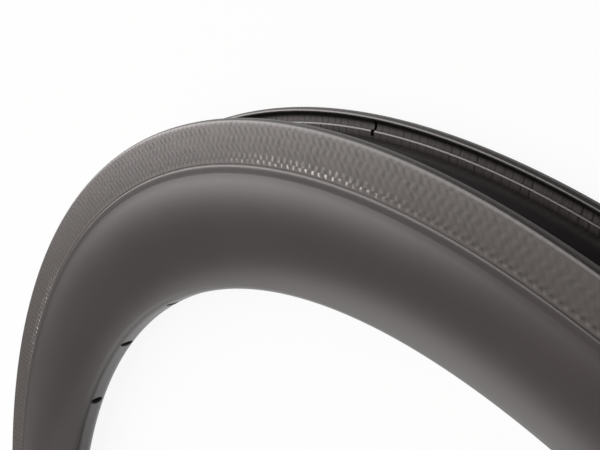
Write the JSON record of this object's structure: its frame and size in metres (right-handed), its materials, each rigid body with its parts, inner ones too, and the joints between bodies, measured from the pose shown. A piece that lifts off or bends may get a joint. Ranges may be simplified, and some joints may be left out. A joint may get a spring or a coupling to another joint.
{
  "type": "bicycle rim",
  "caption": "Deep hollow bicycle rim moulded in dark carbon cloth, with hooked tyre flanges, woven brake tracks and a rounded inner edge drilled for spokes.",
  "frame": {"origin": "centre of the wheel, in the rim's middle plane", "axes": "+Z along the axle line, so the rim lies flat on a side wall; the valve hole is on -X"},
  "size_m": [0.6339, 0.634, 0.0218],
  "materials": {
    "carbon_laminate": "satin"
  },
  "bodies": {
    "root": {"rim": "carbon_laminate"}
  },
  "joints": []
}
